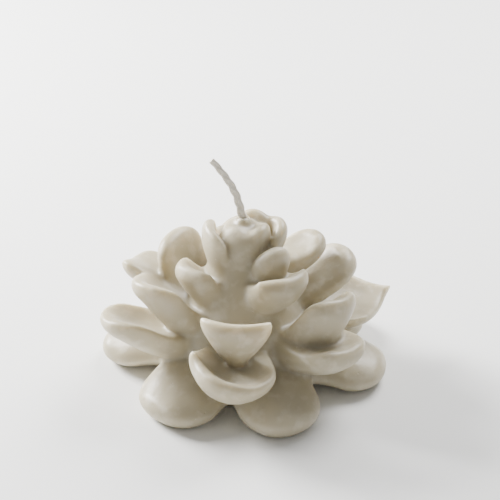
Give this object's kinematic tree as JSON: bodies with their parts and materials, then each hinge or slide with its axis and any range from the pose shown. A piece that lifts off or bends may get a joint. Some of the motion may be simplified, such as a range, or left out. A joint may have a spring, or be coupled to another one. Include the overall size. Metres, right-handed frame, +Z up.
{
  "type": "lotus flower candle",
  "caption": "Wax candle cast as an open lotus flower: stacked rings of cupped petals on a tapering stem with a flat base, and a cotton wick standing out of the bud.",
  "frame": {"origin": "centre of the flower's bounding box, on the plane of the flat base", "axes": "+Z up out of the bud, -Y towards the front, where the middle petals of two rings stand one above the other, +X to the flower's right seen from the front"},
  "size_m": [0.0724, 0.069, 0.0569],
  "materials": {
    "wax": "ivory paraffin wax, smooth from the mould, soft satin sheen, slightly translucent",
    "wick_cotton": "flat braided cotton soaked in wax"
  },
  "bodies": {
    "root": {"wax_flower": "wax", "wick": "wick_cotton"}
  },
  "joints": []
}
